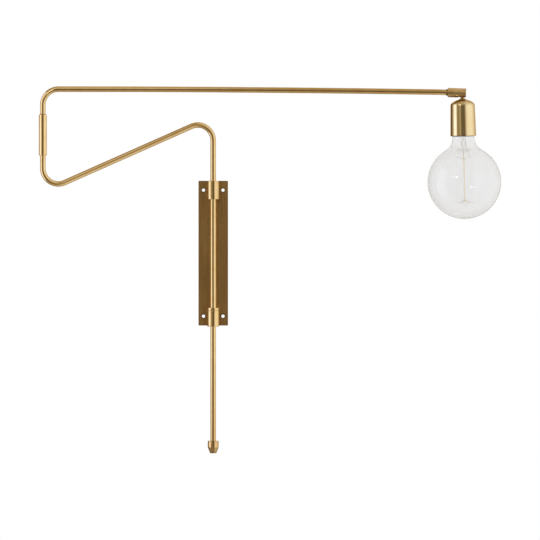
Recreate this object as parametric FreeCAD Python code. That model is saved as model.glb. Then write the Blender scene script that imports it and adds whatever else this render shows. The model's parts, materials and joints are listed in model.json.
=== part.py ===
import FreeCAD, Part
import math
import os

from FreeCAD import Placement, Rotation
from FreeCAD import Vector as V

# Swing arm wall lamp in brass tube, with a tilting lampholder and a clear globe bulb.
# Millimetres. The origin is the centre of the wall plate's back face, +Z is up and +Y
# points into the wall, so the lamp stands out towards -Y.

# Wall plate
plate_width = 50.0
plate_height = 245.0
plate_thickness = 3.0
plate_corner_radius = 1.2
plate_edge_round = 0.5
wall_hole_diameter = 5.5
wall_hole_spacing_x = 33.0
wall_hole_spacing_z = 213.5

# Brackets that hold the upright on the plate, and the screws that hold the brackets
bracket_width = 20.0
upper_bracket_length = 31.5
lower_bracket_length = 27.5
lower_bracket_overhang = 2.0
bracket_end_round = 0.8
upright_standoff = 11.0
bush_wall = 1.0
bush_recess = 0.8
bracket_screw_diameter = 4.0
bracket_screw_head_diameter = 8.0
bracket_screw_length = 7.0
bracket_screw_spacing = 15.0
bracket_screw_slot = 1.0
bracket_hole_spare_depth = 0.5

# Lamp tube and its bends
tube_diameter = 9.5
tube_wall = 1.0
bend_radius = 26.5

# Lower arm: upright, peak, sloping run and the short stub under the elbow
rest_swing = 11.0
arm_reach = 292.6
peak_height = 230.9
arm_drop = 128.2
upright_tail = 193.0
stop_collar_diameter = 19.6
stop_collar_height = 4.2
thrust_clearance = 0.1

# Cord gland at the foot of the upright
gland_diameter = 18.5
gland_barrel_length = 11.0
gland_cone_length = 10.0
gland_mouth_diameter = 10.5
gland_seat_depth = 10.0
gland_bore_diameter = 7.0
gland_edge_round = 0.6

# Elbow sleeve, in which the upper arm turns
sleeve_diameter = 13.6
sleeve_length = 69.0
sleeve_above_corner = 62.0
sleeve_grip_on_lower_arm = 32.0
sleeve_end_round = 0.9
elbow_washer_thickness = 1.5
retaining_groove_depth = 0.4
retaining_groove_width = 3.6
retaining_screw_from_top = 12.0

# Upper arm
upper_leg_above_sleeve = 43.05
upper_arm_length = 707.9
upper_arm_sag = 4.8
arm_end_turn = 1.4
arm_end_turn_length = 25.0
arm_end_straight = 16.0

# End fitting and knuckle
fitting_diameter = 15.8
fitting_length = 30.7
fitting_nose = 6.4
fitting_shoulder_diameter = 12.0
fitting_shoulder_length = 3.0
fitting_mouth_wall = 0.5
fitting_nose_round = 0.7
fitting_back_round = 0.3
fitting_socket_depth = 14.5
fitting_wire_bore_diameter = 6.0
knuckle_slot_back = 7.5
knuckle_slot_corner = 3.0
knuckle_eye_diameter = 10.0
knuckle_pin_diameter = 4.0
knuckle_pin_cheek_skin = 1.8
knuckle_neck_diameter = 6.8
knuckle_neck_gap = 1.4
knuckle_collar_diameter = 12.0
knuckle_collar_height = 1.65
knuckle_collar_flare = 0.9
knuckle_thread_diameter = 10.0
head_lean = 1.3

# Lamp cover
cover_height = 61.5
cover_top_diameter = 41.2
cover_rim_diameter = 43.7
cover_dome_radius = 30.0
cover_shoulder_round = 6.0
cover_wall = 1.0
cover_rim_round = 0.3

# Lampholder inside the cover
holder_boss_diameter = 16.0
holder_boss_height = 8.0
holder_diameter = 33.0
holder_length = 41.5
holder_wall = 2.0
holder_top_wall = 3.0
holder_wiring_space = 5.55
insulator_thickness = 6.0
thread_shell_wall = 0.8
thread_shell_length = 25.0
contact_strip_thickness = 0.5
contact_strip_width = 6.0
contact_strip_reach = 9.0
contact_strip_drop = 2.8
terminal_screw_diameter = 3.0
terminal_screw_length = 5.0
terminal_head_diameter = 5.5
terminal_head_height = 2.0
terminal_spacing = 16.0

# Globe bulb with a screw cap
bulb_length = 175.0
globe_diameter = 125.0
glass_wall = 1.0
bulb_neck_diameter = 38.4
bulb_neck_flare_radius = 21.0
bulb_neck_below_cap = 10.0
bulb_seal_diameter = 25.2
bulb_seal_length = 6.0
cap_diameter = 26.2
cap_wall = 0.4
cap_height = 27.0
cap_shoulder_height = 2.0
cap_insulator_diameter = 19.0
cap_insulator_height = 4.0
cap_contact_diameter = 9.6
cap_contact_height = 1.6
stem_tube_diameter = 9.0
stem_press_width = 9.0
stem_press_thickness = 3.6
stem_press_top = 35.0
stem_press_length = 12.0
stem_rod_diameter = 2.4
stem_button_diameter = 4.4
crown_above_globe_centre = 39.2
crown_below_globe_centre = 31.3
crown_radius = 14.0
crown_start_angle = -45.0
crown_steps = 6
crown_rise = 2.8
support_wire_diameter = 0.5
lead_wire_diameter = 0.7
filament_diameter = 0.3
filament_bend_radius = 0.5

# Grub screws and clearances
grub_diameter = 3.0
grub_socket_width = 1.5
grub_socket_depth = 1.2
running_clearance = 0.05
seat_clearance = 0.02
slot_clearance = 0.2
turning_clearance = 0.15
thread_clearance = 0.15

# Places worked out from the sizes above
tube_radius = tube_diameter / 2
tube_bore_radius = tube_radius - tube_wall
plate_front_y = -plate_thickness
upright_y = plate_front_y - upright_standoff
plate_top_z = plate_height / 2
upper_bracket_bottom_z = plate_top_z - upper_bracket_length
lower_bracket_bottom_z = -plate_top_z - lower_bracket_overhang
lower_bracket_top_z = lower_bracket_bottom_z + lower_bracket_length
gland_top_z = lower_bracket_bottom_z - upright_tail
stub_corner_z = peak_height - arm_drop
sleeve_bottom_z = stub_corner_z + sleeve_above_corner
sleeve_top_z = sleeve_bottom_z + sleeve_length
lower_tube_top_z = sleeve_bottom_z + sleeve_grip_on_lower_arm
upper_tube_bottom_z = lower_tube_top_z + elbow_washer_thickness + thrust_clearance
upper_corner_z = sleeve_top_z + upper_leg_above_sleeve
elbow_x = -arm_reach * math.cos(math.radians(rest_swing))
elbow_y = upright_y - arm_reach * math.sin(math.radians(rest_swing))
fitting_radius = fitting_diameter / 2
fitting_back = fitting_nose - fitting_length
tube_end_to_pin = fitting_shoulder_length - fitting_back - fitting_socket_depth
sag_run = upper_arm_length - bend_radius - arm_end_turn_length - arm_end_straight - tube_end_to_pin
sag_angle = 2 * upper_arm_sag / sag_run
arm_end_angle = sag_angle + math.radians(arm_end_turn)


# Helpers

def save(name, *solids):
    shape = solids[0] if len(solids) == 1 else Part.makeCompound(list(solids))
    shape.exportStep("parts/" + name + ".step")


def rod(radius, start, end):
    return Part.makeCylinder(radius, (end - start).Length, start, end - start)


def disc(radius, top_z, bottom_z):
    return rod(radius, V(0, 0, bottom_z), V(0, 0, top_z))


def line(x1, z1, x2, z2):
    return Part.LineSegment(V(x1, 0, z1), V(x2, 0, z2)).toShape()


def arc(centre_x, centre_z, radius, start_angle, end_angle):
    def point(angle):
        turn = math.radians(angle)
        return V(centre_x + radius * math.cos(turn), 0, centre_z + radius * math.sin(turn))
    middle_angle = (start_angle + end_angle) / 2
    return Part.Arc(point(start_angle), point(middle_angle), point(end_angle)).toShape()


def turned(edges):
    face = Part.Face(Part.Wire(Part.__sortEdges__(edges)))
    return face.revolve(V(0, 0, 0), V(0, 0, 1), 360)


def polygon_edges(points):
    closed = points + points[:1]
    return [line(*a, *b) for a, b in zip(closed, closed[1:])]


def rounded_path(points, radius):
    edges = []
    start = points[0]
    for before, corner, after in zip(points, points[1:], points[2:]):
        back = (before - corner).normalize()
        ahead = (after - corner).normalize()
        half_angle = back.getAngle(ahead) / 2
        bisector = (back + ahead).normalize()
        centre = corner + bisector * (radius / math.sin(half_angle))
        arc_start = corner + back * (radius / math.tan(half_angle))
        arc_end = corner + ahead * (radius / math.tan(half_angle))
        edges.append(Part.LineSegment(start, arc_start).toShape())
        edges.append(Part.Arc(arc_start, centre - bisector * radius, arc_end).toShape())
        start = arc_end
    edges.append(Part.LineSegment(start, points[-1]).toShape())
    return edges


def swept_wire(edges, radius):
    first = edges[0]
    start = first.valueAt(first.FirstParameter)
    section = Part.Wire(Part.makeCircle(radius, start, first.tangentAt(first.FirstParameter)))
    return Part.Wire(edges).makePipeShell([section], True, False)


def bent_tube(edges):
    return swept_wire(edges, tube_radius).cut(swept_wire(edges, tube_bore_radius))


def round_edges(solid, radius, wanted):
    return solid.makeFillet(radius, [edge for edge in solid.Edges if wanted(edge)])


def level(edge, z):
    return abs(edge.BoundBox.ZMin - z) < 1e-6 and abs(edge.BoundBox.ZMax - z) < 1e-6


def grub_screw(tip, outer_end):
    body = rod(grub_diameter / 2, tip, outer_end)
    inward = (tip - outer_end).normalize()
    socket = Part.makeCylinder(grub_socket_width / 2, grub_socket_depth, outer_end, inward)
    return body.cut(socket)


def grub_hole(tip, outer_end):
    outward = (outer_end - tip).normalize()
    return rod(grub_diameter / 2 + seat_clearance, tip, outer_end + outward * grub_diameter)


# Wall plate: flat bar with four wall holes and countersunk holes for the bracket screws
def bracket_screw_places():
    upper_middle = upper_bracket_bottom_z + upper_bracket_length / 2
    lower_middle = lower_bracket_bottom_z + lower_bracket_length / 2
    return [V(0, 0, middle + side * bracket_screw_spacing / 2)
            for middle in (upper_middle, lower_middle) for side in (-1, 1)]


def countersunk_shape(place, extra, length):
    shank_radius = bracket_screw_diameter / 2 + extra
    head_radius = bracket_screw_head_diameter / 2 + extra
    head = Part.makeCone(head_radius, shank_radius, head_radius - shank_radius, place, V(0, -1, 0))
    return head.fuse(Part.makeCylinder(shank_radius, length, place, V(0, -1, 0)))


def wall_plate():
    plate = Part.makeBox(plate_width, plate_thickness, plate_height,
                         V(-plate_width / 2, plate_front_y, -plate_top_z))
    plate = round_edges(plate, plate_corner_radius, lambda e: e.BoundBox.YLength > plate_thickness / 2)
    plate = round_edges(plate, plate_edge_round,
                        lambda e: abs(e.BoundBox.YMax - plate_front_y) < 1e-6)
    for side_x in (-1, 1):
        for side_z in (-1, 1):
            place = V(side_x * wall_hole_spacing_x / 2, 0, side_z * wall_hole_spacing_z / 2)
            plate = plate.cut(Part.makeCylinder(wall_hole_diameter / 2, plate_thickness, place, V(0, -1, 0)))
    for place in bracket_screw_places():
        plate = plate.cut(countersunk_shape(place, seat_clearance, plate_thickness))
    return plate


# Brackets: U section blocks with a bushed bore for the upright
def bracket(bottom_z, length):
    radius = bracket_width / 2
    top_z = bottom_z + length
    block = Part.makeCylinder(radius, length, V(0, upright_y, bottom_z)).fuse(
        Part.makeBox(bracket_width, upright_standoff, length, V(-radius, upright_y, bottom_z)))
    block = block.removeSplitter()
    block = round_edges(block, bracket_end_round,
                        lambda e: (level(e, bottom_z) or level(e, top_z))
                        and e.BoundBox.YMin < plate_front_y - 1e-6)
    bore_radius = tube_radius + running_clearance + bush_wall + seat_clearance
    block = block.cut(Part.makeCylinder(bore_radius, length, V(0, upright_y, bottom_z)))
    for place in bracket_screw_places():
        depth = bracket_screw_length + bracket_hole_spare_depth
        block = block.cut(Part.makeCylinder(bracket_screw_diameter / 2 + seat_clearance, depth,
                                            place, V(0, -1, 0)))
    return block


def bush(bottom_z, length):
    bore_radius = tube_radius + running_clearance
    bush_length = length - 2 * bush_recess
    bottom = V(0, upright_y, bottom_z + bush_recess)
    outer = Part.makeCylinder(bore_radius + bush_wall, bush_length, bottom)
    return outer.cut(Part.makeCylinder(bore_radius, bush_length, bottom))


def bracket_screw(place):
    screw = countersunk_shape(place, 0, bracket_screw_length)
    slot = Part.makeBox(bracket_screw_head_diameter, bracket_screw_slot, bracket_screw_slot,
                        place - V(bracket_screw_head_diameter / 2, bracket_screw_slot, bracket_screw_slot / 2))
    return screw.cut(slot)


# Lower arm: built along -X from the upright's axis, then swung out from the wall
def on_lower_arm(shape):
    turn = Rotation(V(0, 0, 1), rest_swing)
    shape.Placement = Placement(V(0, upright_y, 0), turn).multiply(shape.Placement)
    return shape


def lower_arm_tube():
    tube_bottom_z = gland_top_z - gland_seat_depth
    path = rounded_path([V(0, 0, tube_bottom_z),
                         V(0, 0, peak_height),
                         V(-arm_reach, 0, stub_corner_z),
                         V(-arm_reach, 0, lower_tube_top_z)], bend_radius)
    return bent_tube(path)


def stop_collar_parts():
    bottom_z = lower_bracket_top_z + thrust_clearance
    middle_z = bottom_z + stop_collar_height / 2
    ring = disc(stop_collar_diameter / 2, bottom_z + stop_collar_height, bottom_z)
    ring = ring.cut(disc(tube_radius + seat_clearance, bottom_z + stop_collar_height, bottom_z))
    tip = V(0, tube_radius + seat_clearance, middle_z)
    outer_end = V(0, stop_collar_diameter / 2 - slot_clearance, middle_z)
    return ring.cut(grub_hole(V(0, 0, middle_z), outer_end)), grub_screw(tip, outer_end)


def cord_gland_parts():
    barrel_bottom_z = gland_top_z - gland_barrel_length
    mouth_z = barrel_bottom_z - gland_cone_length
    tube_bottom_z = gland_top_z - gland_seat_depth
    radius = gland_diameter / 2
    body = turned(polygon_edges([(0, gland_top_z), (radius, gland_top_z), (radius, barrel_bottom_z),
                                 (gland_mouth_diameter / 2, mouth_z), (0, mouth_z)]))
    body = round_edges(body, gland_edge_round, lambda e: level(e, gland_top_z) or level(e, barrel_bottom_z))
    body = body.cut(disc(tube_radius + seat_clearance, gland_top_z, tube_bottom_z))
    body = body.cut(disc(gland_bore_diameter / 2, tube_bottom_z, mouth_z))
    screw_z = gland_top_z - gland_seat_depth / 2
    tip = V(0, tube_radius + seat_clearance, screw_z)
    outer_end = V(0, radius - slot_clearance, screw_z)
    return body.cut(grub_hole(V(0, 0, screw_z), outer_end)), grub_screw(tip, outer_end)


# Elbow: sleeve clamped on the lower arm's stub, with the upper arm's leg turning inside it
def at_elbow(shape):
    shape.Placement = Placement(V(elbow_x, elbow_y, 0), Rotation()).multiply(shape.Placement)
    return shape


def elbow_sleeve_parts():
    bore_radius = tube_radius + running_clearance
    outer_radius = sleeve_diameter / 2
    sleeve = disc(outer_radius, sleeve_top_z, sleeve_bottom_z)
    sleeve = round_edges(sleeve, sleeve_end_round,
                         lambda e: level(e, sleeve_top_z) or level(e, sleeve_bottom_z))
    sleeve = sleeve.cut(disc(bore_radius, sleeve_top_z, sleeve_bottom_z))
    fixing_z = sleeve_bottom_z + sleeve_grip_on_lower_arm / 2
    retaining_z = sleeve_top_z - retaining_screw_from_top
    screws = []
    for screw_z, tip_radius in ((fixing_z, tube_radius + seat_clearance),
                                (retaining_z, tube_radius - retaining_groove_depth + turning_clearance)):
        outer_end = V(0, outer_radius - slot_clearance, screw_z)
        screws.append(grub_screw(V(0, tip_radius, screw_z), outer_end))
        sleeve = sleeve.cut(grub_hole(V(0, 0, screw_z), outer_end))
    return sleeve, screws[0], screws[1]


def elbow_washer():
    top_z = lower_tube_top_z + elbow_washer_thickness
    ring = disc(tube_radius, top_z, lower_tube_top_z)
    return ring.cut(disc(tube_bore_radius, top_z, lower_tube_top_z))


# Upper arm: leg, bend and long run, which dips a little and is set down at its end
def dipping_arc(start, start_angle, end_angle, length):
    radius = length / (end_angle - start_angle)
    centre = start - V(math.sin(start_angle), 0, math.cos(start_angle)) * radius
    end = centre + V(math.sin(end_angle), 0, math.cos(end_angle)) * radius
    edge = arc(centre.x, centre.z, radius, 90 - math.degrees(start_angle), 90 - math.degrees(end_angle))
    return edge, end


def long_run():
    dip, dip_end = dipping_arc(V(bend_radius, 0, upper_corner_z), 0, sag_angle, sag_run)
    turn, turn_end = dipping_arc(dip_end, sag_angle, arm_end_angle, arm_end_turn_length)
    along = V(math.cos(arm_end_angle), 0, -math.sin(arm_end_angle))
    tube_end = turn_end + along * arm_end_straight
    pin = tube_end + along * tube_end_to_pin
    return [dip, turn, Part.LineSegment(turn_end, tube_end).toShape()], pin


def upper_arm_tube():
    bend_start_z = upper_corner_z - bend_radius
    leg = line(0, upper_tube_bottom_z, 0, bend_start_z)
    bend = arc(bend_radius, bend_start_z, bend_radius, 180, 90)
    run, pin = long_run()
    tube = bent_tube([leg, bend] + run)
    groove_top_z = sleeve_top_z - retaining_screw_from_top + retaining_groove_width / 2
    groove_bottom_z = groove_top_z - retaining_groove_width
    groove = disc(tube_diameter, groove_top_z, groove_bottom_z).cut(
        disc(tube_radius - retaining_groove_depth, groove_top_z, groove_bottom_z))
    return tube.cut(groove)


def knuckle_place():
    run, pin = long_run()
    return V(elbow_x, elbow_y, 0) + pin


# End fitting: turned bar on the arm's end, slotted below and at its nose; built about the pin
def on_end_fitting(shape):
    dip = Rotation(V(0, 1, 0), math.degrees(arm_end_angle))
    shape.Placement = Placement(knuckle_place(), dip).multiply(shape.Placement)
    return shape


def knuckle_slot():
    half_width = knuckle_neck_diameter / 2 + slot_clearance
    ceiling_z = knuckle_eye_diameter / 2 + 2 * slot_clearance
    slot = Part.makeBox(knuckle_slot_back + fitting_diameter, 2 * half_width, ceiling_z + fitting_diameter,
                        V(-knuckle_slot_back, -half_width, -fitting_diameter))
    return round_edges(slot, knuckle_slot_corner,
                       lambda e: level(e, ceiling_z) and e.BoundBox.XMax < 0)


def end_fitting_parts():
    def along(x):
        return V(x, 0, 0)
    shoulder_back = fitting_back - fitting_shoulder_length
    socket_end = shoulder_back + fitting_socket_depth
    body = rod(fitting_radius, along(fitting_back), along(fitting_nose))
    for end_x, edge_round in ((fitting_nose, fitting_nose_round), (fitting_back, fitting_back_round)):
        body = round_edges(body, edge_round, lambda e: abs(e.BoundBox.XMin - end_x) < 1e-6
                           and e.BoundBox.XLength < 1e-6)
    body = body.fuse(Part.makeCone(tube_radius + fitting_mouth_wall, fitting_shoulder_diameter / 2,
                                   fitting_shoulder_length, along(shoulder_back), V(1, 0, 0)))
    body = body.cut(rod(tube_radius + seat_clearance, along(shoulder_back), along(socket_end)))
    body = body.cut(rod(fitting_wire_bore_diameter / 2, along(socket_end), along(0)))
    body = body.cut(knuckle_slot())
    pin_front = V(0, knuckle_pin_cheek_skin - fitting_radius, 0)
    pin_back = V(0, fitting_radius - 2 * slot_clearance, 0)
    pin_hole_end = V(0, fitting_radius, 0)
    body = body.cut(rod(knuckle_pin_diameter / 2 + seat_clearance, pin_front, pin_hole_end))
    pin = rod(knuckle_pin_diameter / 2, pin_front, pin_back)
    screw_x = (fitting_back + socket_end) / 2
    tip = V(screw_x, tube_radius + seat_clearance, 0)
    outer_end = V(screw_x, fitting_radius - slot_clearance, 0)
    return body.cut(grub_hole(along(screw_x), outer_end)), pin, grub_screw(tip, outer_end)


# Lamp head: built hanging straight down from the pin, then leaned as it hangs in use
collar_top_z = -(fitting_radius + knuckle_neck_gap)
cover_top_z = collar_top_z - knuckle_collar_height
cover_rim_z = cover_top_z - cover_height
cover_dome_centre_z = cover_top_z - math.sqrt(cover_dome_radius ** 2 - (knuckle_collar_diameter / 2) ** 2)
holder_top_rise = math.sqrt((cover_dome_radius - cover_wall) ** 2 - (holder_boss_diameter / 2) ** 2)
holder_top_z = cover_dome_centre_z + holder_top_rise - seat_clearance
holder_body_top_z = holder_top_z - holder_boss_height
holder_bottom_z = holder_body_top_z - holder_length
holder_cavity_top_z = holder_body_top_z - holder_top_wall
holder_cavity_radius = holder_diameter / 2 - holder_wall
insulator_top_z = holder_cavity_top_z - holder_wiring_space
insulator_bottom_z = insulator_top_z - insulator_thickness
bulb_tip_z = insulator_bottom_z - contact_strip_drop
cap_bottom_z = bulb_tip_z - cap_height
globe_radius = globe_diameter / 2
globe_centre_z = bulb_tip_z - bulb_length + globe_radius


def on_head(shape):
    lean = Rotation(V(0, 1, 0), -head_lean)
    shape.Placement = Placement(knuckle_place(), lean).multiply(shape.Placement)
    return shape


def knuckle_link():
    eye_half = knuckle_neck_diameter / 2
    eye = rod(knuckle_eye_diameter / 2, V(0, -eye_half, 0), V(0, eye_half, 0))
    neck = disc(knuckle_neck_diameter / 2, 0, collar_top_z)
    flare_bottom_z = collar_top_z - knuckle_collar_flare
    flare = Part.makeCone(knuckle_collar_diameter / 2, knuckle_neck_diameter / 2, knuckle_collar_flare,
                          V(0, 0, flare_bottom_z))
    collar = disc(knuckle_collar_diameter / 2, flare_bottom_z, cover_top_z)
    thread = disc(knuckle_thread_diameter / 2, cover_top_z, holder_body_top_z)
    link = eye.fuse([neck, flare, collar, thread])
    pin_hole_radius = knuckle_pin_diameter / 2 + running_clearance
    return link.cut(rod(pin_hole_radius, V(0, -eye_half, 0), V(0, eye_half, 0)))


def cover_form(inset):
    dome_radius = cover_dome_radius - inset
    top_z = cover_top_z - inset
    top_rise = top_z - cover_dome_centre_z
    seat_edge = math.sqrt(dome_radius ** 2 - top_rise ** 2)
    side_top = cover_top_diameter / 2 - inset
    side_rise = math.sqrt(dome_radius ** 2 - side_top ** 2)
    side_top_z = cover_dome_centre_z + side_rise
    dome = arc(0, cover_dome_centre_z, dome_radius,
               math.degrees(math.atan2(top_rise, seat_edge)), math.degrees(math.atan2(side_rise, side_top)))
    rim = cover_rim_diameter / 2 - inset
    form = turned([line(0, top_z, seat_edge, top_z), dome, line(side_top, side_top_z, rim, cover_rim_z),
                   line(rim, cover_rim_z, 0, cover_rim_z), line(0, cover_rim_z, 0, top_z)])
    return round_edges(form, cover_shoulder_round - inset, lambda e: level(e, side_top_z))


def lamp_cover():
    cover = cover_form(0).cut(cover_form(cover_wall))
    cover = cover.cut(disc(knuckle_thread_diameter / 2 + seat_clearance, cover_top_z, holder_top_z))
    return round_edges(cover, cover_rim_round, lambda e: level(e, cover_rim_z))


def lampholder_body():
    boss = disc(holder_boss_diameter / 2, holder_top_z, holder_body_top_z)
    barrel = disc(holder_diameter / 2, holder_body_top_z, holder_bottom_z)
    body = boss.fuse(barrel)
    body = body.cut(disc(holder_cavity_radius, holder_cavity_top_z, holder_bottom_z))
    return body.cut(disc(knuckle_thread_diameter / 2 + seat_clearance, holder_top_z, holder_cavity_top_z))


def terminal_places():
    return [V(side * terminal_spacing / 2, 0, insulator_top_z) for side in (-1, 1)]


def lampholder_insulator():
    block = disc(holder_cavity_radius - running_clearance, insulator_top_z, insulator_bottom_z)
    for place in terminal_places():
        block = block.cut(Part.makeCylinder(terminal_screw_diameter / 2 + seat_clearance,
                                            insulator_thickness, place, V(0, 0, -1)))
    return block


def terminal_screw(place):
    head = Part.makeCylinder(terminal_head_diameter / 2, terminal_head_height, place)
    return head.fuse(Part.makeCylinder(terminal_screw_diameter / 2, terminal_screw_length, place, V(0, 0, -1)))


def lampholder_shell():
    shell_bottom_z = insulator_bottom_z - thread_shell_length
    bore_radius = cap_diameter / 2 + thread_clearance
    ring = disc(bore_radius + thread_shell_wall, insulator_bottom_z, shell_bottom_z)
    return ring.cut(disc(bore_radius, insulator_bottom_z, shell_bottom_z))


def lampholder_contact():
    top = insulator_bottom_z
    low = bulb_tip_z + contact_strip_thickness
    half_tip = contact_strip_width / 2
    strip = Part.Face(Part.Wire(polygon_edges([
        (-contact_strip_reach, top), (-half_tip - contact_strip_drop, top), (-half_tip, low), (half_tip, low),
        (half_tip, bulb_tip_z), (-half_tip - contact_strip_thickness / 2, bulb_tip_z),
        (-half_tip - contact_strip_drop, top - contact_strip_thickness),
        (-contact_strip_reach, top - contact_strip_thickness)])))
    strip.translate(V(0, -contact_strip_width / 2, 0))
    return strip.extrude(V(0, contact_strip_width, 0))


# Bulb: blown glass globe on a screw cap, with a glass stem that carries the filament
def bulb_form(inset):
    neck = bulb_neck_diameter / 2
    seal = bulb_seal_diameter / 2
    half_step = (neck - seal) / 2
    half_drop = bulb_neck_below_cap / 2
    turn = 2 * math.atan2(half_step, half_drop)
    curl = half_drop / math.sin(turn)
    turn_deg = math.degrees(turn)
    shoulder_z = cap_bottom_z - bulb_neck_below_cap
    upper_curl = arc(seal + curl, cap_bottom_z, curl + inset, 180, 180 + turn_deg)
    lower_curl = arc(neck - curl, shoulder_z, curl - inset, turn_deg, 0)
    flare = bulb_neck_flare_radius
    flare_z = globe_centre_z + math.sqrt((globe_radius + flare) ** 2 - (neck + flare) ** 2)
    meet_angle = math.degrees(math.atan2(flare_z - globe_centre_z, neck + flare))
    neck_flare = arc(neck + flare, flare_z, flare + inset, 180, 180 + meet_angle)
    globe = arc(0, globe_centre_z, globe_radius - inset, meet_angle, -90)
    seal_top_z = cap_bottom_z + bulb_seal_length
    bottom_z = globe_centre_z - globe_radius + inset
    return turned([line(0, seal_top_z, seal - inset, seal_top_z),
                   line(seal - inset, seal_top_z, seal - inset, cap_bottom_z), upper_curl, lower_curl,
                   line(neck - inset, shoulder_z, neck - inset, flare_z), neck_flare, globe,
                   line(0, bottom_z, 0, seal_top_z)])


def bulb_glass():
    return bulb_form(0).cut(bulb_form(glass_wall))


def bulb_cap():
    radius = cap_diameter / 2
    top_z = bulb_tip_z - cap_contact_height - cap_insulator_height
    top_radius = cap_insulator_diameter / 2
    shell = turned(polygon_edges([
        (radius, cap_bottom_z), (radius, top_z - cap_shoulder_height), (top_radius, top_z), (0, top_z),
        (0, top_z - cap_wall), (top_radius, top_z - cap_wall),
        (radius - cap_wall, top_z - cap_shoulder_height - cap_wall), (radius - cap_wall, cap_bottom_z)]))
    return shell


def bulb_cap_insulator():
    top_z = bulb_tip_z - cap_contact_height
    return Part.makeCone(cap_insulator_diameter / 2, cap_contact_diameter / 2, cap_insulator_height,
                         V(0, 0, top_z - cap_insulator_height))


def bulb_contact():
    button = disc(cap_contact_diameter / 2, bulb_tip_z, bulb_tip_z - cap_contact_height)
    return round_edges(button, cap_contact_height / 2, lambda e: level(e, bulb_tip_z))


def crown_top_z():
    return globe_centre_z + crown_above_globe_centre


def crown_bottom_z():
    return globe_centre_z - crown_below_globe_centre


def bulb_stem():
    seal = bulb_seal_diameter / 2 - glass_wall
    tube = stem_tube_diameter / 2
    seal_top_z = cap_bottom_z + bulb_seal_length
    seal_bottom_z = seal_top_z - glass_wall
    curve = seal - tube
    press_z = bulb_tip_z - stem_press_top
    press_end_z = press_z - stem_press_length
    flare = turned([line(0, seal_top_z, seal, seal_top_z), line(seal, seal_top_z, seal, seal_bottom_z),
                    arc(seal, seal_bottom_z - curve, curve, 90, 180),
                    line(tube, seal_bottom_z - curve, tube, press_z),
                    line(tube, press_z, 0, press_z), line(0, press_z, 0, seal_top_z)])
    press = Part.makeBox(stem_press_width, stem_press_thickness, stem_press_length,
                         V(-stem_press_width / 2, -stem_press_thickness / 2, press_end_z))
    press = round_edges(press, stem_press_thickness / 3, lambda e: e.BoundBox.ZLength > stem_press_length / 2)
    centre_rod = disc(stem_rod_diameter / 2, press_end_z, crown_bottom_z())
    buttons = [Part.makeSphere(stem_button_diameter / 2, V(0, 0, z)) for z in (crown_top_z(), crown_bottom_z())]
    return flare.fuse([press, centre_rod] + buttons)


def crown_point(step, radius, z):
    angle = math.radians(crown_start_angle + step * 180 / crown_steps)
    return V(radius * math.cos(angle), radius * math.sin(angle), z)


def support_wire(step, button_z, rise):
    foot_radius = (stem_button_diameter + support_wire_diameter) / 2
    path = rounded_path([crown_point(step, foot_radius, button_z),
                         crown_point(step, crown_radius * 2 / 3, button_z + rise),
                         crown_point(step, crown_radius, button_z + rise)], crown_rise / 2)
    return swept_wire(path, support_wire_diameter / 2)


def support_wires():
    upper_steps = range(2, 2 * crown_steps - 2, 2)
    lower_steps = range(1, 2 * crown_steps - 2, 2)
    upper = [support_wire(step, crown_top_z(), crown_rise) for step in upper_steps]
    return upper + [support_wire(step, crown_bottom_z(), -crown_rise) for step in lower_steps]


def lead_wires():
    foot_z = bulb_tip_z - stem_press_top - stem_press_length - lead_wire_diameter / 2
    ends = (crown_point(0, crown_radius, crown_top_z() + crown_rise),
            crown_point(2 * crown_steps - 2, crown_radius, crown_top_z() + crown_rise))
    sides = (1, -1)
    return [rod(lead_wire_diameter / 2, V(side * stem_press_width / 4, 0, foot_z), end)
            for side, end in zip(sides, ends)]


def filament():
    reach = crown_radius + (support_wire_diameter + filament_diameter) / 2 + seat_clearance
    heights = (crown_top_z() + crown_rise, crown_bottom_z() - crown_rise)
    points = [crown_point(step, reach, heights[step % 2]) for step in range(2 * crown_steps - 1)]
    return swept_wire(rounded_path(points, filament_bend_radius), filament_diameter / 2)


# Pieces
os.makedirs("parts", exist_ok=True)

save("wall_plate", wall_plate())
save("upper_bracket", bracket(upper_bracket_bottom_z, upper_bracket_length))
save("lower_bracket", bracket(lower_bracket_bottom_z, lower_bracket_length))
save("bracket_screws", *[bracket_screw(place) for place in bracket_screw_places()])
save("upper_bush", bush(upper_bracket_bottom_z, upper_bracket_length))
save("lower_bush", bush(lower_bracket_bottom_z, lower_bracket_length))

collar, collar_screw = stop_collar_parts()
gland, gland_screw = cord_gland_parts()
save("lower_arm_tube", on_lower_arm(lower_arm_tube()))
save("stop_collar", on_lower_arm(collar))
save("stop_collar_screw", on_lower_arm(collar_screw))
save("cord_gland", on_lower_arm(gland))
save("cord_gland_screw", on_lower_arm(gland_screw))

sleeve, fixing_screw, retaining_screw = elbow_sleeve_parts()
save("elbow_sleeve", at_elbow(sleeve))
save("elbow_fixing_screw", at_elbow(fixing_screw))
save("elbow_retaining_screw", at_elbow(retaining_screw))
save("elbow_washer", at_elbow(elbow_washer()))

fitting, knuckle_pin, fitting_screw = end_fitting_parts()
save("upper_arm_tube", at_elbow(upper_arm_tube()))
save("end_fitting", on_end_fitting(fitting))
save("knuckle_pin", on_end_fitting(knuckle_pin))
save("end_fitting_screw", on_end_fitting(fitting_screw))

save("knuckle_link", on_head(knuckle_link()))
save("lamp_cover", on_head(lamp_cover()))
save("lampholder_body", on_head(lampholder_body()))
save("lampholder_insulator", on_head(lampholder_insulator()))
save("lampholder_shell", on_head(lampholder_shell()))
save("lampholder_contact", on_head(lampholder_contact()))
save("terminal_screws", *[on_head(terminal_screw(place)) for place in terminal_places()])

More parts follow.
